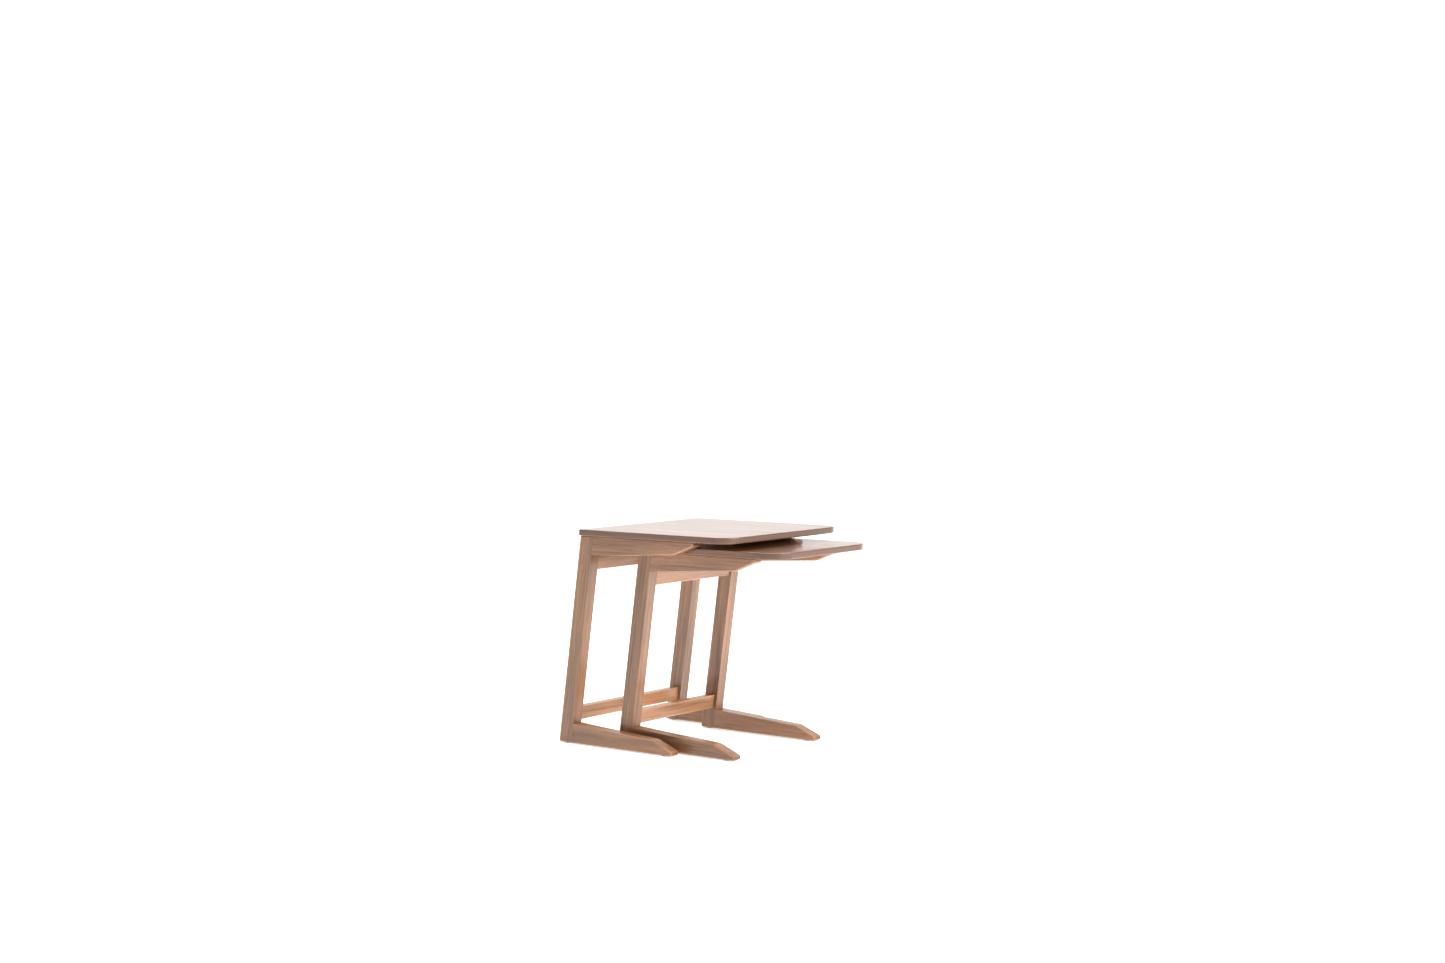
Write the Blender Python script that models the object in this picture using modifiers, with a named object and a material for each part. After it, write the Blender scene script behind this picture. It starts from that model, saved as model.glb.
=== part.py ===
"""Nesting tables: two C-shaped wooden side tables, the inner one drawn part of the way out of the outer one.

Each table is a top on two side frames. A side frame is a leaning leg with an arm under the top and a foot
on the floor, both tapering forward. An apron and a stretcher join the two frames at the back. Loose tenons
hold the joints, and screws up through the arms hold the top. +Z is up and -Y is the front.
"""

import math
from collections import namedtuple

import bmesh
import bpy
from mathutils import Matrix

# Driving sizes, in metres.
OUTER_WIDTH = 0.490
OUTER_HEIGHT = 0.550
OUTER_TOP_DEPTH = 0.470
INNER_HEIGHT = 0.516
TOP_THICKNESS = 0.016
TOP_CORNER_RADIUS = 0.055
SIDE_OVERHANG = 0.010  # the top stands out past each side frame
TOP_BACK_INSET = 0.004  # the top's back edge stays in front of the legs' back faces
NEST_GAP = 0.004  # sideways room for the inner table between the outer arms
PULLED_OUT = 0.119  # how far the inner table stands in front of its nested place

LEAN = math.radians(8)
LEG_DEPTH = 0.042  # square to the lean
LEG_WIDTH = 0.032

# An arm and a foot are the same piece, one the other way up.
WING_LENGTH = 0.320
WING_ROOT = 0.050  # height at the leg
WING_BREAK = 0.035  # height where the chamfer starts
WING_TIP = 0.011
WING_CHAMFER = 0.060

APRON_HEIGHT = 0.088
APRON_THICKNESS = 0.022
APRON_SETBACK = 0.005
STRETCHER_HEIGHT = 0.035
STRETCHER_THICKNESS = 0.024
STRETCHER_SETBACK = 0.009
STRETCHER_BOTTOM = 0.057

FIT_GAP = 0.0003  # between touching pieces
NEST_STOP_GAP = 0.0006  # between the inner legs and the outer apron when nested
EASED_EDGE = 0.0018
TOP_EASED_EDGE = 0.0020

TENON_THICKNESS = 0.008
WING_TENON_HEIGHT = 0.026
WING_TENON_CENTRE = 0.024  # from the arm's or foot's flat side
WING_TENON_LENGTH = 0.040
APRON_TENON_HEIGHT = 0.032
APRON_TENON_CENTRE = 0.030  # above the apron's lower edge
STRETCHER_TENON_HEIGHT = 0.020
RAIL_TENON_LENGTH = 0.034
RAIL_TENON_IN_LEG = 0.014

SCREW_RADIUS = 0.00225
SCREW_HEAD_RADIUS = 0.0042
SCREW_HEAD_HEIGHT = 0.0026
SCREW_POINT = 0.004
SCREW_IN_TOP = 0.011
SCREW_IN_ARM = 0.022
COUNTERBORE_RADIUS = 0.005
SCREW_FROM_LEG = 0.045
SCREW_FROM_TIP = 0.105

GLIDE_HEIGHT = 0.002
GLIDE_RADIUS = 0.010
GLIDE_EDGE = 0.0006
GLIDE_NAIL_RADIUS = 0.0011
GLIDE_NAIL_LENGTH = 0.010
GLIDE_FROM_TIP = 0.030

# Sizes worked out from those above.
SLOPE = math.tan(LEAN)
LEG_RUN = LEG_DEPTH / math.cos(LEAN)  # the leg's depth along Y
NESTED_OFFSET = LEG_RUN - APRON_SETBACK + NEST_STOP_GAP
INNER_OFFSET = NESTED_OFFSET + PULLED_OUT
INNER_WIDTH = OUTER_WIDTH - 2 * (SIDE_OVERHANG + LEG_WIDTH + NEST_GAP)

CORNER_STEPS = 12
SLOT_STEPS = 5
TURN_STEPS = 16
SIDES = {"left": -1, "right": 1}
# Turns an outline drawn in XY into one in YZ, with its thickness along X.
TO_SIDE_VIEW = Matrix(((0, 0, 1, 0), (1, 0, 0, 0), (0, 1, 0, 0), (0, 0, 0, 1)))

Table = namedtuple("Table", "name width height top_front y hub")


def clear_scene():
    for obj in list(bpy.data.objects):
        bpy.data.objects.remove(obj, do_unlink=True)


def new_collection(name):
    collection = bpy.data.collections.new(name)
    bpy.context.scene.collection.children.link(collection)
    return collection


def plain_material(name, colour, roughness, metallic=0.0):
    material = bpy.data.materials.new(name)
    material.use_nodes = True
    shader = material.node_tree.nodes["Principled BSDF"]
    shader.inputs["Base Color"].default_value = (*colour, 1)
    shader.inputs["Roughness"].default_value = roughness
    shader.inputs["Metallic"].default_value = metallic
    return material


# The table's own frame has x = 0 midway between the side frames and y = 0 at the legs' back face on the
# floor. These give the leaning leg's faces at a height.


def leg_back(z):
    return -z * SLOPE


def leg_front(z):
    return leg_back(z) - LEG_RUN


def underside(table):
    return table.height - TOP_THICKNESS - FIT_GAP


def frame_face(table):
    """How far a side frame's outer face is from the table's middle."""
    return table.width / 2 - SIDE_OVERHANG


def leg_centre(table, side):
    return SIDES[side] * (frame_face(table) - LEG_WIDTH / 2)


# Shapes.


def welded(mesh):
    shape = bmesh.new()
    shape.from_mesh(mesh)
    bmesh.ops.remove_doubles(shape, verts=shape.verts, dist=1e-5)
    bmesh.ops.recalc_face_normals(shape, faces=shape.faces)
    shape.to_mesh(mesh)
    shape.free()
    return mesh


def extruded(name, outline, thickness):
    """A mesh of a closed outline in the XY plane, with its thickness centred on z = 0."""
    curve = bpy.data.curves.new(name, "CURVE")
    curve.dimensions = "2D"
    curve.fill_mode = "BOTH"
    curve.extrude = thickness / 2
    spline = curve.splines.new("POLY")
    spline.points.add(len(outline) - 1)
    for point, (x, y) in zip(spline.points, outline):
        point.co = (x, y, 0, 1)
    spline.use_cyclic_u = True
    holder = bpy.data.objects.new(name, curve)
    bpy.context.scene.collection.objects.link(holder)
    graph = bpy.context.evaluated_depsgraph_get()
    mesh = bpy.data.meshes.new_from_object(holder.evaluated_get(graph))
    bpy.data.objects.remove(holder)
    bpy.data.curves.remove(curve)
    return welded(mesh)


def arc(centre_x, centre_y, radius, start, end, steps):
    """Points along an arc, with its angles in degrees."""
    points = []
    for step in range(steps + 1):
        angle = math.radians(start + (end - start) * step / steps)
        points.append((centre_x + radius * math.cos(angle), centre_y + radius * math.sin(angle)))
    return points


def slot_outline(width, height):
    """A slot with round ends, its long way along Y."""
    radius = width / 2
    straight = height / 2 - radius
    upper = arc(0, straight, radius, 0, 180, SLOT_STEPS)
    return upper + arc(0, -straight, radius, 180, 360, SLOT_STEPS)


def turned(name, profile, collection, table):
    """A Screw modifier turns the profile of (radius, z) points, which runs from top to bottom."""
    mesh = bpy.data.meshes.new(name)
    shape = bmesh.new()
    points = [shape.verts.new((radius, 0, z)) for radius, z in profile]
    for upper, lower in zip(points, points[1:]):
        shape.edges.new((upper, lower))
    shape.to_mesh(mesh)
    shape.free()
    turned_piece = place(name, mesh, collection, table)
    screw = turned_piece.modifiers.new("turn", "SCREW")
    screw.steps = TURN_STEPS
    screw.render_steps = TURN_STEPS
    screw.use_merge_vertices = True
    screw.merge_threshold = 1e-5
    screw.use_smooth_shade = False
    return turned_piece


def place(name, mesh, collection, table):
    piece = bpy.data.objects.new(name, mesh)
    collection.objects.link(piece)
    piece.parent = table.hub
    return piece


def ease_edges(piece, width):
    bevel = piece.modifiers.new("eased edges", "BEVEL")
    bevel.width = width
    bevel.segments = 2
    bevel.limit_method = "ANGLE"
    bevel.angle_limit = math.radians(30)


def side_view_piece(name, outline, thickness, table, x, material):
    """A wooden piece whose outline of (y, z) points is seen from the side."""
    mesh = extruded(name, outline, thickness)
    mesh.transform(TO_SIDE_VIEW)
    mesh.materials.append(material)
    piece = place(name, mesh, PARTS, table)
    piece.location.x = x
    ease_edges(piece, EASED_EDGE)
    return piece


def cut(cutter, *pieces):
    for piece in pieces:
        boolean = piece.modifiers.new(cutter.name, "BOOLEAN")
        boolean.object = cutter


def as_cutter(cutter):
    cutter.hide_render = True
    cutter.display_type = "WIRE"
    return cutter


# Pieces of a side frame.


def leg(table, side):
    low, high = GLIDE_HEIGHT, underside(table)
    outline = [(leg_back(low), low), (leg_back(high), high), (leg_front(high), high), (leg_front(low), low)]
    name = f"{table.name}_{side}_leg"
    return side_view_piece(name, outline, LEG_WIDTH, table, leg_centre(table, side), LEG_WOOD)


def wing_tip(flat_z, thick):
    """The y of an arm's or foot's tip. thick is -1 where it thickens downward and 1 where it thickens upward."""
    return leg_front(flat_z + thick * WING_ROOT / 2) - WING_LENGTH


def wing(table, side, kind, flat_z, thick):
    """An arm or a foot. Its flat side is at flat_z."""
    root_z = flat_z + thick * WING_ROOT
    tip_y = wing_tip(flat_z, thick)
    outline = [
        (leg_front(flat_z) - FIT_GAP, flat_z),
        (leg_front(root_z) - FIT_GAP, root_z),
        (tip_y + WING_CHAMFER, flat_z + thick * WING_BREAK),
        (tip_y, flat_z + thick * WING_TIP),
        (tip_y, flat_z),
    ]
    name = f"{table.name}_{side}_{kind}"
    return side_view_piece(name, outline, LEG_WIDTH, table, leg_centre(table, side), LEG_WOOD)


# Pieces across the back.


def rail(table, kind, low, high, setback, thickness):
    """A rail between the two legs, whose front and back faces lean with them."""
    outline = [
        (leg_front(low) + setback, low),
        (leg_front(high) + setback, high),
        (leg_front(high) + setback + thickness, high),
        (leg_front(low) + setback + thickness, low),
    ]
    length = 2 * (frame_face(table) - LEG_WIDTH - FIT_GAP)
    return side_view_piece(f"{table.name}_{kind}", outline, length, table, 0, RAIL_WOOD)


def top(table):
    half = table.width / 2
    back = leg_back(underside(table)) - TOP_BACK_INSET
    front = table.top_front
    radius = TOP_CORNER_RADIUS
    inset = half - radius
    outline = [(half, back), (-half, back)]
    outline += arc(-inset, front + radius, radius, 180, 270, CORNER_STEPS)
    outline += arc(inset, front + radius, radius, 270, 360, CORNER_STEPS)
    name = f"{table.name}_top"
    mesh = extruded(name, outline, TOP_THICKNESS)
    mesh.materials.append(TOP_WOOD)
    piece = place(name, mesh, PARTS, table)
    piece.location.z = table.height - TOP_THICKNESS / 2
    ease_edges(piece, TOP_EASED_EDGE)
    return piece


# Loose tenons. Each one has a cutter, a fit gap larger all round, for the mortises that it sits in.


def tenon(name, table, height, length, location, turn, pieces):
    """turn is the rotation that lays the tenon's height and length along their directions."""
    mesh = extruded(name, slot_outline(TENON_THICKNESS, height), length)
    mesh.materials.append(TENON_WOOD)
    solid = place(name, mesh, PARTS, table)
    gap = 2 * FIT_GAP
    hollow_outline = slot_outline(TENON_THICKNESS + gap, height + gap)
    hollow = place(f"{name}_mortise", extruded(name, hollow_outline, length + gap), CUTTERS, table)
    for placed in (solid, as_cutter(hollow)):
        placed.location = location
        placed.rotation_euler = turn.to_euler()
    cut(hollow, *pieces)


def wing_tenon(table, side, kind, flat_z, thick, pieces):
    z = flat_z + thick * WING_TENON_CENTRE
    location = (leg_centre(table, side), leg_front(z) - FIT_GAP / 2, z)
    turn = Matrix.Rotation(math.pi / 2 + LEAN, 4, "X")
    name = f"{table.name}_{side}_{kind}_tenon"
    tenon(name, table, WING_TENON_HEIGHT, WING_TENON_LENGTH, location, turn, pieces)


def rail_tenon(table, side, kind, height, centre_z, setback, thickness, pieces):
    inner_face = frame_face(table) - LEG_WIDTH
    x = SIDES[side] * (inner_face + RAIL_TENON_IN_LEG - RAIL_TENON_LENGTH / 2)
    location = (x, leg_front(centre_z) + setback + thickness / 2, centre_z)
    turn = Matrix.Rotation(LEAN, 4, "X") @ TO_SIDE_VIEW
    name = f"{table.name}_{side}_{kind}_tenon"
    tenon(name, table, height, RAIL_TENON_LENGTH, location, turn, pieces)


# Hardware.


def top_screw(table, side, place_name, y, pieces):
    """A screw up through an arm into the top, with its head in a counterbore."""
    x = leg_centre(table, side)
    seat = underside(table) - SCREW_IN_ARM
    tip = underside(table) + FIT_GAP + SCREW_IN_TOP
    name = f"{table.name}_{side}_{place_name}_top_screw"
    profile = [
        (0, tip),
        (SCREW_RADIUS, tip - SCREW_POINT),
        (SCREW_RADIUS, seat - FIT_GAP),
        (SCREW_HEAD_RADIUS, seat - FIT_GAP),
        (SCREW_HEAD_RADIUS, seat - FIT_GAP - SCREW_HEAD_HEIGHT),
        (0, seat - FIT_GAP - SCREW_HEAD_HEIGHT),
    ]
    screw = turned(name, profile, PARTS, table)
    screw.data.materials.append(STEEL)
    below_arm = underside(table) - 2 * WING_ROOT
    hole_radius = SCREW_RADIUS + FIT_GAP
    hole_profile = [
        (0, tip + FIT_GAP),
        (hole_radius, tip + FIT_GAP),
        (hole_radius, seat),
        (COUNTERBORE_RADIUS, seat),
        (COUNTERBORE_RADIUS, below_arm),
        (0, below_arm),
    ]
    hole = as_cutter(turned(f"{name}_hole", hole_profile, CUTTERS, table))
    for placed in (screw, hole):
        placed.location = (x, y, 0)
    cut(hole, *pieces)


def glide(table, side, place_name, y, piece):
    """A nail-on glide under a leg or a foot, which it keeps off the floor."""
    seat = GLIDE_HEIGHT - FIT_GAP
    tip = GLIDE_HEIGHT + GLIDE_NAIL_LENGTH
    name = f"{table.name}_{side}_{place_name}_glide"
    profile = [
        (0, tip),
        (GLIDE_NAIL_RADIUS, tip - 2 * GLIDE_NAIL_RADIUS),
        (GLIDE_NAIL_RADIUS, seat),
        (GLIDE_RADIUS, seat),
        (GLIDE_RADIUS, GLIDE_EDGE),
        (GLIDE_RADIUS - GLIDE_EDGE, 0),
        (0, 0),
    ]
    solid = turned(name, profile, PARTS, table)
    solid.data.materials.append(PLASTIC)
    hole_radius = GLIDE_NAIL_RADIUS + FIT_GAP
    hole_profile = [(0, tip + FIT_GAP), (hole_radius, tip + FIT_GAP), (hole_radius, 0), (0, 0)]
    hole = as_cutter(turned(f"{name}_hole", hole_profile, CUTTERS, table))
    for placed in (solid, hole):
        placed.location = (leg_centre(table, side), y, 0)
    cut(hole, piece)


# Assembly.


def side_frame(table, side, rails, table_top):
    apron, stretcher = rails
    arm_flat, foot_flat = underside(table), GLIDE_HEIGHT
    upright = leg(table, side)
    arm = wing(table, side, "arm", arm_flat, -1)
    foot = wing(table, side, "foot", foot_flat, 1)
    wing_tenon(table, side, "arm", arm_flat, -1, (upright, arm))
    wing_tenon(table, side, "foot", foot_flat, 1, (upright, foot))
    apron_z = arm_flat - APRON_HEIGHT + APRON_TENON_CENTRE
    rail_tenon(
        table, side, "apron", APRON_TENON_HEIGHT, apron_z, APRON_SETBACK, APRON_THICKNESS, (upright, apron)
    )
    stretcher_z = STRETCHER_BOTTOM + STRETCHER_HEIGHT / 2
    rail_tenon(
        table,
        side,
        "stretcher",
        STRETCHER_TENON_HEIGHT,
        stretcher_z,
        STRETCHER_SETBACK,
        STRETCHER_THICKNESS,
        (upright, stretcher),
    )
    top_screw(table, side, "back", leg_front(arm_flat) - SCREW_FROM_LEG, (arm, table_top))
    top_screw(table, side, "front", wing_tip(arm_flat, -1) + SCREW_FROM_TIP, (arm, table_top))
    glide(table, side, "back", leg_back(0) - LEG_RUN / 2, upright)
    glide(table, side, "front", wing_tip(foot_flat, 1) + GLIDE_FROM_TIP, foot)


def build_table(table):
    table_top = top(table)
    apron_low = underside(table) - APRON_HEIGHT
    apron = rail(table, "back_apron", apron_low, underside(table), APRON_SETBACK, APRON_THICKNESS)
    stretcher_high = STRETCHER_BOTTOM + STRETCHER_HEIGHT
    stretcher = rail(
        table, "stretcher", STRETCHER_BOTTOM, stretcher_high, STRETCHER_SETBACK, STRETCHER_THICKNESS
    )
    for side in SIDES:
        side_frame(table, side, (apron, stretcher), table_top)


def table_at(name, width, height, top_front, y):
    hub = bpy.data.objects.new(f"{name}_table", None)
    hub.location.y = y
    PARTS.objects.link(hub)
    return Table(name, width, height, top_front, y, hub)


clear_scene()
PARTS = new_collection("nesting_tables")
CUTTERS = new_collection("cutters")
TOP_WOOD = plain_material("top_wood", (0.45, 0.27, 0.18), 0.25)
LEG_WOOD = plain_material("leg_wood", (0.38, 0.22, 0.15), 0.40)
RAIL_WOOD = plain_material("rail_wood", (0.48, 0.28, 0.18), 0.38)
TENON_WOOD = plain_material("tenon_wood", (0.62, 0.47, 0.30), 0.60)
STEEL = plain_material("steel", (0.55, 0.54, 0.50), 0.35, 1.0)
PLASTIC = plain_material("plastic", (0.05, 0.04, 0.035), 0.50)

# The outer top's front edge in its table's own frame, and the inner one's, flush with it when nested.
OUTER_TOP_FRONT = leg_back(OUTER_HEIGHT - TOP_THICKNESS) - TOP_BACK_INSET - OUTER_TOP_DEPTH
INNER_TOP_FRONT = OUTER_TOP_FRONT + NESTED_OFFSET
# The whole object is centred on the origin along Y.
WHOLE_DEPTH = INNER_OFFSET - INNER_TOP_FRONT
OUTER_Y = WHOLE_DEPTH / 2
build_table(table_at("outer", OUTER_WIDTH, OUTER_HEIGHT, OUTER_TOP_FRONT, OUTER_Y))
build_table(table_at("inner", INNER_WIDTH, INNER_HEIGHT, INNER_TOP_FRONT, OUTER_Y - INNER_OFFSET))
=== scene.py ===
"""Looks of the nesting tables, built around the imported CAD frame.

Every wooden CAD node that shows is replaced by a finer piece. Each side frame is rounded over as one C and
then cut at its joints, as a maker would sand it after gluing. Each piece carries its own place in the log it
was sawn from, so that the grain runs along it and end grain shows at its ends.
"""

import math

import bmesh
import bpy
from mathutils import Matrix, Vector


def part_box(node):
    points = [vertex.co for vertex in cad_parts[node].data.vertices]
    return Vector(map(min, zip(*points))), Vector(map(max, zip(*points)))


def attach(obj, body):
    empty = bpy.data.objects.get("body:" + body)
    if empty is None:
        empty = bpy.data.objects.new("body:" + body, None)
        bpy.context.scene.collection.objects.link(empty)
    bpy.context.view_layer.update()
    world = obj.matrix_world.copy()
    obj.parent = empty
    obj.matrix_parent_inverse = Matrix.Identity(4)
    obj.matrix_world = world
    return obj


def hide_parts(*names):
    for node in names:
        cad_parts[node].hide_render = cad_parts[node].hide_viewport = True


# Sizes in metres, as in the CAD source.
LEAN = math.radians(8)
SLOPE = math.tan(LEAN)
LEG_DEPTH = 0.042
LEG_RUN = LEG_DEPTH / math.cos(LEAN)
TOP_BACK_INSET = 0.004
WING_LENGTH = 0.320
WING_ROOT = 0.050
WING_BREAK = 0.035
WING_TIP = 0.011
WING_CHAMFER = 0.060
APRON_SETBACK = 0.005
APRON_THICKNESS = 0.022
STRETCHER_SETBACK = 0.009
STRETCHER_THICKNESS = 0.024
TOP_CORNER_RADIUS = 0.055
FIT_GAP = 0.0003

# Radii of the rounded edges.
FRAME_ROUND = 0.0042
RAIL_ROUND = 0.0022
TOP_ROUND = 0.0024
TOP_BACK_CORNER_ROUND = 0.0025
ROUND_STEPS = 4
CORNER_STEPS = 28
SHARP_ANGLE = math.radians(40)
STRIP_WIDTH = 0.002  # a face narrower than this belongs to a rounded edge
JOINT_LINE = 0.00015  # half the open line where two glued pieces meet
SAME_PLACE = 1e-6

# Added to the share of the dark colour. Rounded edges of frames and rails get a painted highlight: a negative
# tone that makes them paler than the rest.
END_GRAIN_TONE = 0.45
TOP_RIM_TONE = 0.58
EDGE_HIGHLIGHT_TONE = -0.36
PALEST_FRAME_TONE = -0.03
FRAME_TONE_STEP = 0.05

# The share of the dark colour without any pattern, and how much each pattern adds to it.
LOWEST_SHARE = -0.04
STREAK_SHARE = 0.40
RING_SHARE = 0.20
CLOUD_SHARE = 0.50
PORE_SHARE = 0.55  # how far a pore goes towards its own colour
PORE_DARKNESS = 0.42  # that colour, as a part of the dark colour

# Scale of each pattern per metre, along the grain and across it.
WANDER_SCALE = (2.2, 16, 16)
FIBRE_SCALE = (6, 330, 330)
CLOUD_SCALE = (3, 44, 44)
PORE_SCALE = (38, 1500, 1500)
RING_SCALE = 34.0
WANDER_REACH = (0, 0.022, 0.022)  # how far the rings wander, in metres

# Where the boards lie in their logs.
BOARD_SPACING = 1.31
PITH_DISTANCE = 0.055
PITH_STEP = 0.013
SIDE_START = -0.02
SIDE_STEP = 0.021
BOARDS_APART = 10  # more than the boards of one table
BOARDS_PER_SIDE = 3

# How far each kind of board is turned round its own length in its log, as a slope.
FRAME_GRAIN_TURN = 0.35
RAIL_GRAIN_TURN = 0.4
TOP_GRAIN_TURN = 0.3

SIDES = ("left", "right")
TABLES = ("outer", "inner")

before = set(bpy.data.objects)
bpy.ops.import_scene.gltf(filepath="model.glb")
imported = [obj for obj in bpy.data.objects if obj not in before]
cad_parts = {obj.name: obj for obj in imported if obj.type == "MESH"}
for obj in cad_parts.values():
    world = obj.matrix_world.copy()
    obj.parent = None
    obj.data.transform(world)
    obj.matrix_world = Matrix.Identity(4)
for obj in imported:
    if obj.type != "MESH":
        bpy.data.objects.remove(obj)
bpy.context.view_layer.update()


# Wood.


class Nodes:
    """Short calls for building a material's node tree."""

    def __init__(self, name):
        self.material = bpy.data.materials.new(name)
        self.material.use_nodes = True
        self.tree = self.material.node_tree
        self.shader = self.tree.nodes["Principled BSDF"]

    def add(self, kind, inputs, **settings):
        node = self.tree.nodes.new(kind)
        for name, value in settings.items():
            setattr(node, name, value)
        for key, value in inputs.items():
            self.feed(node.inputs[key], value)
        return node

    def feed(self, socket, value):
        if isinstance(value, bpy.types.NodeSocket):
            self.tree.links.new(value, socket)
        else:
            socket.default_value = value

    def math(self, operation, *values, clamp=False):
        inputs = dict(enumerate(values))
        return self.add("ShaderNodeMath", inputs, operation=operation, use_clamp=clamp).outputs[0]

    def vector(self, operation, first, second):
        return self.add("ShaderNodeVectorMath", {0: first, 1: second}, operation=operation).outputs[0]

    def noise(self, where, detail=2.0, roughness=0.5):
        inputs = {"Vector": where, "Scale": 1.0, "Detail": detail, "Roughness": roughness}
        return self.add("ShaderNodeTexNoise", inputs).outputs["Fac"]

    def remap(self, value, low, high, to_low=0.0, to_high=1.0):
        """Turns low to high into to_low to to_high, and stops there."""
        inputs = {"Value": value, "From Min": low, "From Max": high, "To Min": to_low, "To Max": to_high}
        return self.add("ShaderNodeMapRange", inputs, clamp=True).outputs[0]

    def mix(self, share, first, second):
        inputs = {0: share, 6: first, 7: second}
        return self.add("ShaderNodeMix", inputs, data_type="RGBA").outputs[2]


def wood_material(name, pale, dark, roughness, coat, coat_roughness):
    """Lacquered walnut-toned wood. Attribute log is the place in the log in metres, with X along the grain.
    Attribute tone is added to the share of the dark colour."""
    n = Nodes(name)
    log = n.add("ShaderNodeAttribute", {}, attribute_name="log").outputs["Vector"]
    tone = n.add("ShaderNodeAttribute", {}, attribute_name="tone").outputs["Fac"]
    # The growth rings wander slowly along the board.
    stretched = n.vector("MULTIPLY", log, WANDER_SCALE)
    wander = n.add("ShaderNodeTexNoise", {"Vector": stretched, "Scale": 1.0}).outputs["Color"]
    bent = n.vector("ADD", log, n.vector("MULTIPLY", wander, WANDER_REACH))
    ring_inputs = {
        "Vector": bent,
        "Scale": RING_SCALE,
        "Distortion": 1.6,
        "Detail": 2.0,
        "Detail Scale": 30.0,
    }
    ring_settings = {"wave_type": "RINGS", "rings_direction": "X", "wave_profile": "SAW"}
    rings = n.add("ShaderNodeTexWave", ring_inputs, **ring_settings).outputs["Fac"]
    fibre = n.noise(n.vector("MULTIPLY", bent, FIBRE_SCALE), detail=4.0, roughness=0.62)
    streaks = n.remap(fibre, 0.3, 0.72)
    clouds = n.remap(n.noise(n.vector("MULTIPLY", bent, CLOUD_SCALE)), 0.3, 0.7)
    pores = n.remap(n.noise(n.vector("MULTIPLY", log, PORE_SCALE), detail=1.0), 0.62, 0.72)
    # The patterns add up to the share of the dark colour, and the pores are darker still.
    share = n.math("MULTIPLY_ADD", streaks, STREAK_SHARE, LOWEST_SHARE)
    share = n.math("MULTIPLY_ADD", rings, RING_SHARE, share)
    share = n.math("MULTIPLY_ADD", clouds, CLOUD_SHARE, share)
    share = n.math("ADD", share, tone, clamp=True)
    colour = n.mix(share, (*pale, 1), (*dark, 1))
    pore_colour = tuple(PORE_DARKNESS * channel for channel in dark)
    colour = n.mix(n.math("MULTIPLY", pores, PORE_SHARE), colour, (*pore_colour, 1))
    n.feed(n.shader.inputs["Base Color"], colour)
    n.feed(n.shader.inputs["Roughness"], n.math("MULTIPLY_ADD", streaks, 0.12, roughness))
    relief = n.math("MULTIPLY_ADD", pores, -0.7, n.math("MULTIPLY", fibre, 0.5))
    bump = n.add("ShaderNodeBump", {"Strength": 0.12, "Distance": 0.0002, "Height": relief})
    n.feed(n.shader.inputs["Normal"], bump.outputs[0])
    n.shader.inputs["Coat Weight"].default_value = coat
    n.shader.inputs["Coat Roughness"].default_value = coat_roughness
    n.shader.inputs["Specular IOR Level"].default_value = 0.4
    return n.material


def plain_material(name, pale, dark, roughness, metallic, specks):
    """Plastic or metal with fine mottling in its colour and roughness."""
    n = Nodes(name)
    place = n.add("ShaderNodeTexCoord", {}).outputs["Object"]
    mottle = n.noise(n.vector("MULTIPLY", place, (specks,) * 3), detail=3.0)
    n.feed(n.shader.inputs["Base Color"], n.mix(mottle, (*pale, 1), (*dark, 1)))
    n.feed(n.shader.inputs["Roughness"], n.math("MULTIPLY_ADD", mottle, 0.2, roughness))
    bump = n.add("ShaderNodeBump", {"Strength": 0.08, "Distance": 0.0001, "Height": mottle})
    n.feed(n.shader.inputs["Normal"], bump.outputs[0])
    n.shader.inputs["Metallic"].default_value = metallic
    return n.material


# Pale and dark colour, roughness, then weight and roughness of the lacquer.
FRAME_WOOD = wood_material("frame_wood", (0.425, 0.203, 0.094), (0.088, 0.039, 0.018), 0.36, 0.6, 0.16)
# Painted light: the rails get a paler copy of the frame wood, standing in for the stronger light that falls
# on their fronts.
PAINTED_LIGHT_RAIL_WOOD = wood_material("rail_wood", (0.60, 0.293, 0.136), (0.155, 0.068, 0.029), 0.36, 0.6, 0.16)
TOP_WOOD = wood_material("top_wood", (0.385, 0.190, 0.095), (0.098, 0.039, 0.017), 0.28, 0.7, 0.07)
BARE_WOOD = wood_material("bare_wood", (0.66, 0.49, 0.31), (0.48, 0.33, 0.19), 0.62, 0.0, 0.3)
# Pale and dark colour, roughness, metallic value, then specks per metre.
STEEL = plain_material("zinc_steel", (0.62, 0.60, 0.55), (0.42, 0.41, 0.38), 0.28, 1.0, 900)
PLASTIC = plain_material("glide_plastic", (0.045, 0.036, 0.032), (0.025, 0.020, 0.018), 0.42, 0.0, 1400)


# Shapes.


def prism(outline, low, high, axis):
    """A bmesh of a closed outline, extruded from low to high along axis X or Z."""
    shape = bmesh.new()
    rings = []
    for level in (low, high):
        points = [(level, a, b) if axis == "X" else (a, b, level) for a, b in outline]
        rings.append([shape.verts.new(point) for point in points])
    shape.faces.new(rings[0])
    shape.faces.new(rings[1])
    for i in range(len(outline)):
        j = (i + 1) % len(outline)
        shape.faces.new((rings[0][i], rings[0][j], rings[1][j], rings[1][i]))
    bmesh.ops.recalc_face_normals(shape, faces=shape.faces)
    return shape


def round_over(shape, radius, wanted):
    """Rounds every edge for which wanted(first point, second point) is true."""
    edges = [edge for edge in shape.edges if wanted(edge.verts[0].co, edge.verts[1].co)]
    bmesh.ops.bevel(shape, geom=edges, offset=radius, segments=ROUND_STEPS, profile=0.5, affect="EDGES")


def keep_side(shape, point, normal):
    """Cuts the shape with a plane, and keeps the side that the normal points to, closed."""
    geometry = list(shape.verts) + list(shape.edges) + list(shape.faces)
    bmesh.ops.bisect_plane(shape, geom=geometry, plane_co=point, plane_no=normal, clear_inner=True)
    rim = [edge for edge in shape.edges if edge.is_boundary]
    bmesh.ops.contextual_create(shape, geom=rim)
    bmesh.ops.recalc_face_normals(shape, faces=shape.faces)


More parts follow.
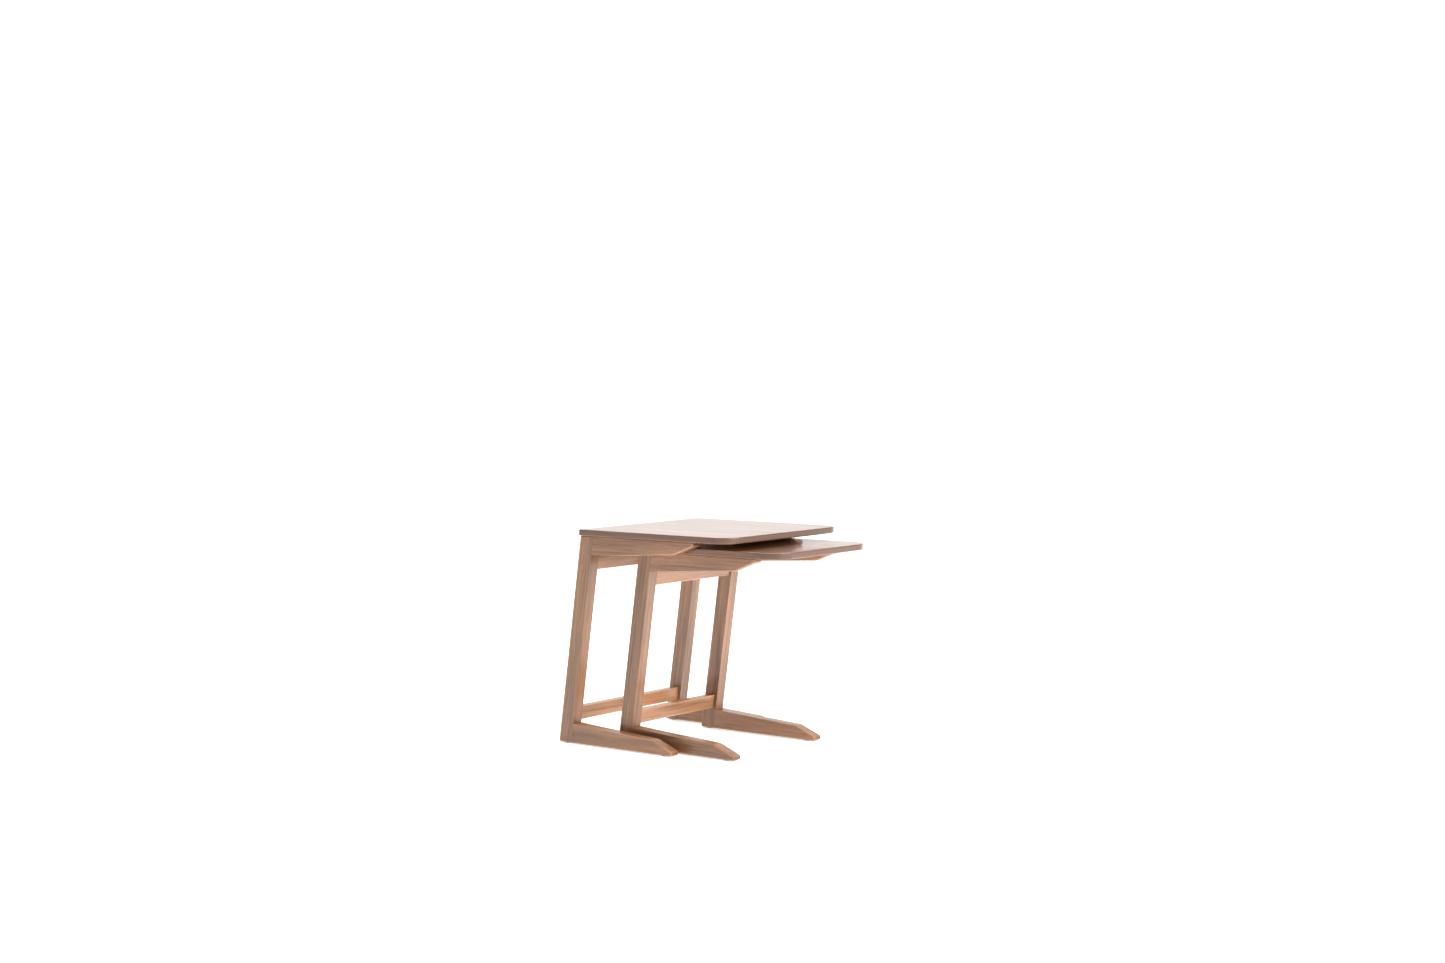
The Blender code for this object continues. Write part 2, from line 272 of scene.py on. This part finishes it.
def in_rounded_edge(face):
    """Whether a face is one of the narrow strips of a rounded edge."""
    corners = [vertex.co for vertex in face.verts]
    longest = max((corners[i] - corners[i - 1]).length for i in range(len(corners)))
    return face.calc_area() < STRIP_WIDTH * longest


def finish_piece(node, shape, table, material, log, tone=0.0, rim_tone=0.0, edge_highlight_tone=0.0):
    """Makes the object that replaces a node. log turns a point into its place in the log. tone goes on every
    face, rim_tone on upright ones and edge_highlight_tone on rounded edges, a painted highlight that makes
    them paler. End grain takes more stain, so it is darker."""
    turn, offset = log
    shape.faces.index_update()
    strips = [in_rounded_edge(face) for face in shape.faces]
    mesh = bpy.data.meshes.new(f"{node}_wood")
    shape.to_mesh(mesh)
    shape.free()
    places = [value for vertex in mesh.vertices for value in turn @ vertex.co + offset]
    mesh.attributes.new("log", "FLOAT_VECTOR", "POINT").data.foreach_set("vector", places)
    tones = []
    for face, strip in zip(mesh.polygons, strips):
        end_grain = abs(face.normal.dot(turn[0])) ** 3
        rim = rim_tone * (1 - abs(face.normal.z))
        # edge_highlight_tone is a painted highlight: the rounded-edge faces are made paler where light would
        # catch them.
        tones.append(tone + END_GRAIN_TONE * end_grain + rim + edge_highlight_tone * strip)
    mesh.attributes.new("tone", "FLOAT", "FACE").data.foreach_set("value", tones)
    mesh.materials.append(material)
    mesh.polygons.foreach_set("use_smooth", [True] * len(mesh.polygons))
    mesh.set_sharp_from_angle(angle=SHARP_ANGLE)
    piece = bpy.data.objects.new(f"{node}_wood", mesh)
    bpy.context.scene.collection.objects.link(piece)
    weighted = piece.modifiers.new("flat faces stay flat", "WEIGHTED_NORMAL")
    weighted.keep_sharp = True
    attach(piece, f"{table}_table")
    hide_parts(node)


def log_along(direction, across, number):
    """The turn and the offset that put a board into its log. The pith is the log's X axis, and direction runs
    along it. Each board comes from its own length of log, some way off the pith."""
    along = Vector(direction).normalized()
    up = along.cross(Vector(across)).normalized()
    off_pith = PITH_DISTANCE + PITH_STEP * (number % 4)
    to_one_side = SIDE_STEP * (number % 3) + SIDE_START
    return Matrix((along, up.cross(along), up)), Vector((BOARD_SPACING * number, off_pith, to_one_side))


# The side frames.


INNER_CORNERS = slice(5, 7)


def frame_outline(y, floor, under):
    """(y, z) points round a side frame, the inner corners at INNER_CORNERS. y is the leg's back at z = 0."""

    def back(z):
        return y - z * SLOPE

    def front(z):
        return back(z) - LEG_RUN

    arm_tip = front(under - WING_ROOT / 2) - WING_LENGTH
    foot_tip = front(floor + WING_ROOT / 2) - WING_LENGTH
    return [
        (back(floor), floor),
        (back(under), under),
        (arm_tip, under),
        (arm_tip, under - WING_TIP),
        (arm_tip + WING_CHAMFER, under - WING_BREAK),
        (front(under - WING_ROOT), under - WING_ROOT),
        (front(floor + WING_ROOT), floor + WING_ROOT),
        (foot_tip + WING_CHAMFER, floor + WING_BREAK),
        (foot_tip, floor + WING_TIP),
        (foot_tip, floor),
    ]


def inner_corner(outline, point):
    """Whether a point is at one of the frame's two inner corners, which stay sharp."""
    return any(math.dist((point.y, point.z), corner) < SAME_PLACE for corner in outline[INNER_CORNERS])


def build_side_frame(table, side, y, floor, under, number):
    """The leg, arm and foot of one side, cut from one rounded C. The leg runs through from floor to top."""
    low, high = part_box(f"{table}_{side}_leg")
    outline = frame_outline(y, floor, under)

    def to_be_rounded(a, b):
        return not (inner_corner(outline, a) and inner_corner(outline, b))

    joint = Vector((0, y - LEG_RUN, 0))
    forward = Vector((0, -math.cos(LEAN), -math.sin(LEAN)))
    middle = Vector((0, 0, (floor + under) / 2))
    lean_along = (0, -math.sin(LEAN), math.cos(LEAN))
    across_grain = (1, FRAME_GRAIN_TURN if side == "left" else -FRAME_GRAIN_TURN, 0)
    cuts = {
        "leg": [(joint - forward * JOINT_LINE, -forward)],
        "arm": [(joint + forward * JOINT_LINE, forward), (middle, Vector((0, 0, 1)))],
        "foot": [(joint + forward * JOINT_LINE, forward), (middle, Vector((0, 0, -1)))],
    }
    for kind, planes in cuts.items():
        number += 1
        node = f"{table}_{side}_{kind}"
        shape = prism(outline, low.x, high.x, "X")
        round_over(shape, FRAME_ROUND, to_be_rounded)
        for point, normal in planes:
            keep_side(shape, point, normal)
        log = log_along(lean_along if kind == "leg" else (0, 1, 0), across_grain, number)
        tone = FRAME_TONE_STEP * (number % 3) + PALEST_FRAME_TONE
        finish_piece(node, shape, table, FRAME_WOOD, log, tone, edge_highlight_tone=EDGE_HIGHLIGHT_TONE)


# The rails and the tops.


def build_rail(table, kind, y, setback, thickness, number):
    """A rail between the legs, with its front face setback behind theirs."""
    node = f"{table}_{kind}"
    low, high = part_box(node)

    def front(z):
        return y - z * SLOPE - LEG_RUN + setback

    outline = [
        (front(low.z), low.z),
        (front(high.z), high.z),
        (front(high.z) + thickness, high.z),
        (front(low.z) + thickness, low.z),
    ]
    shape = prism(outline, low.x, high.x, "X")
    round_over(shape, RAIL_ROUND, lambda a, b: abs(a.x - b.x) > SAME_PLACE)
    log = log_along((1, 0, 0), (0, 1, RAIL_GRAIN_TURN), number)
    finish_piece(node, shape, table, PAINTED_LIGHT_RAIL_WOOD, log, edge_highlight_tone=EDGE_HIGHLIGHT_TONE)


def arc(x, y, radius, start, end):
    """Points from start to end, in degrees, on a circle round (x, y)."""
    points = []
    for step in range(CORNER_STEPS + 1):
        angle = math.radians(start + (end - start) * step / CORNER_STEPS)
        points.append((x + radius * math.cos(angle), y + radius * math.sin(angle)))
    return points


def build_top(table, number):
    """The tabletop, with its grain from front to back."""
    node = f"{table}_top"
    low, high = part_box(node)
    radius = TOP_CORNER_RADIUS
    outline = [(high.x, high.y), (low.x, high.y)]
    outline += arc(low.x + radius, low.y + radius, radius, 180, 270)
    outline += arc(high.x - radius, low.y + radius, radius, 270, 360)
    shape = prism(outline, low.z, high.z, "Z")
    back, upper, lower = high.y - SAME_PLACE, high.z - SAME_PLACE, low.z + SAME_PLACE
    round_over(shape, TOP_BACK_CORNER_ROUND, lambda a, b: abs(a.z - b.z) > SAME_PLACE and a.y > back)
    round_over(shape, TOP_ROUND, lambda a, b: min(a.z, b.z) > upper)
    round_over(shape, TOP_ROUND, lambda a, b: max(a.z, b.z) < lower)
    log = log_along((0, 1, 0), (1, 0, TOP_GRAIN_TURN), number)
    finish_piece(node, shape, table, TOP_WOOD, log, rim_tone=TOP_RIM_TONE)


def build_table(table, number):
    """One table. number and those after it pick where in the log each board comes from."""
    top_low, top_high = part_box(f"{table}_top")
    under = top_low.z - FIT_GAP
    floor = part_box(f"{table}_left_foot")[0].z
    y = top_high.y + TOP_BACK_INSET + under * SLOPE
    build_top(table, number)
    build_rail(table, "back_apron", y, APRON_SETBACK, APRON_THICKNESS, number + 1)
    build_rail(table, "stretcher", y, STRETCHER_SETBACK, STRETCHER_THICKNESS, number + 2)
    for count, side in enumerate(SIDES):
        build_side_frame(table, side, y, floor, under, number + 3 + BOARDS_PER_SIDE * count)


def dress_cad_nodes():
    """Tenons, screws and glides stay as the CAD nodes, with finished materials."""
    looks = {"_tenon": BARE_WOOD, "_screw": STEEL, "_glide": PLASTIC}
    for name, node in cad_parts.items():
        for ending, material in looks.items():
            if name.endswith(ending):
                node.data.materials.clear()
                node.data.materials.append(material)


# The studio.

SWEEP_DIRECTION = (0.8, 0.6, 0)
SWEEP_EDGE = (0.3, 0.85)  # cosines from SWEEP_DIRECTION between which the room turns into the sweep
SWEEP_LIGHT = 1.1
ROOM_LIGHT = 0.2
FLOOR_REACH = 40
FLOOR_FADE = (0.6, 2.5)  # distances between which the floor's glow grows
FLOOR_GLOW = (0.58, 1.25)
LIGHT_TARGET = Vector((0, 0, 0.35))


def build_studio():
    """A pale floor that glows a little, as an overexposed one does, and two softboxes."""
    mesh = bpy.data.meshes.new("studio_floor")
    low, high = -FLOOR_REACH, FLOOR_REACH
    mesh.from_pydata([(low, low, 0), (high, low, 0), (high, high, 0), (low, high, 0)], [], [(0, 1, 2, 3)])
    n = Nodes("studio_floor")
    n.shader.inputs["Base Color"].default_value = (0.8, 0.8, 0.8, 1)
    n.shader.inputs["Roughness"].default_value = 0.7
    n.shader.inputs["Emission Color"].default_value = (1, 1, 1, 1)
    place = n.add("ShaderNodeTexCoord", {}).outputs["Object"]
    away = n.add("ShaderNodeVectorMath", {0: place}, operation="LENGTH").outputs["Value"]
    n.feed(n.shader.inputs["Emission Strength"], n.remap(away, *FLOOR_FADE, *FLOOR_GLOW))
    mesh.materials.append(n.material)
    floor = bpy.data.objects.new("studio_floor", mesh)
    bpy.context.scene.collection.objects.link(floor)

    build_world()
    # The low softbox lights the fronts, and the overhead one lights the tops and the floor.
    soft_light("front_softbox", (0.04, -1.0, 0.36), distance=3.4, size=(3.0, 1.3), energy=140)
    soft_light("overhead_softbox", (0.05, 0.05, 1.0), distance=3.2, size=(4.5, 4.5), energy=200)


def build_world():
    """A white sweep behind the tables and a dim room elsewhere. The camera itself sees plain white."""
    world = bpy.data.worlds.new("studio")
    world.use_nodes = True
    tree = world.node_tree
    background = tree.nodes["Background"]
    place = tree.nodes.new("ShaderNodeTexCoord")
    facing = tree.nodes.new("ShaderNodeVectorMath")
    facing.operation = "DOT_PRODUCT"
    facing.inputs[1].default_value = SWEEP_DIRECTION
    sweep = tree.nodes.new("ShaderNodeMapRange")
    levels = (*SWEEP_EDGE, ROOM_LIGHT, SWEEP_LIGHT)
    for key, level in zip(("From Min", "From Max", "To Min", "To Max"), levels):
        sweep.inputs[key].default_value = level
    rays = tree.nodes.new("ShaderNodeLightPath")
    white = tree.nodes.new("ShaderNodeMath")
    white.operation = "MAXIMUM"
    tree.links.new(place.outputs["Generated"], facing.inputs[0])
    tree.links.new(facing.outputs["Value"], sweep.inputs["Value"])
    tree.links.new(sweep.outputs[0], white.inputs[0])
    tree.links.new(rays.outputs["Is Camera Ray"], white.inputs[1])
    tree.links.new(white.outputs[0], background.inputs["Strength"])
    background.inputs["Color"].default_value = (1, 1, 1, 1)
    bpy.context.scene.world = world


def soft_light(name, direction, distance, size, energy):
    """A softbox at a distance from the tables' middle in that direction, facing it."""
    lamp = bpy.data.lights.new(name, "AREA")
    lamp.shape = "RECTANGLE"
    lamp.size, lamp.size_y = size
    lamp.energy = energy
    softbox = bpy.data.objects.new(name, lamp)
    towards = Vector(direction).normalized()
    softbox.location = LIGHT_TARGET + towards * distance
    softbox.rotation_euler = towards.to_track_quat("Z", "Y").to_euler()
    bpy.context.scene.collection.objects.link(softbox)


CAMERA_PLACE = (-4.3611, -3.2984, 0.9805)
CAMERA_YAW = 0.9253  # radians from +Y towards +X
CAMERA_PITCH = -0.0571
CAMERA_LENS = 53.85
CAMERA_SENSOR = 36


def build_camera():
    camera_data = bpy.data.cameras.new("camera")
    camera_data.sensor_width = CAMERA_SENSOR
    camera_data.lens = CAMERA_LENS
    camera = bpy.data.objects.new("camera", camera_data)
    bpy.context.scene.collection.objects.link(camera)
    level = math.cos(CAMERA_PITCH)
    facing = Vector((math.sin(CAMERA_YAW) * level, math.cos(CAMERA_YAW) * level, math.sin(CAMERA_PITCH)))
    camera.location = CAMERA_PLACE
    camera.rotation_euler = facing.to_track_quat("-Z", "Y").to_euler()
    bpy.context.scene.camera = camera


bpy.context.scene.view_settings.view_transform = "Standard"
for table_number, table_name in enumerate(TABLES):
    build_table(table_name, BOARDS_APART * table_number)
dress_cad_nodes()
build_studio()
build_camera()
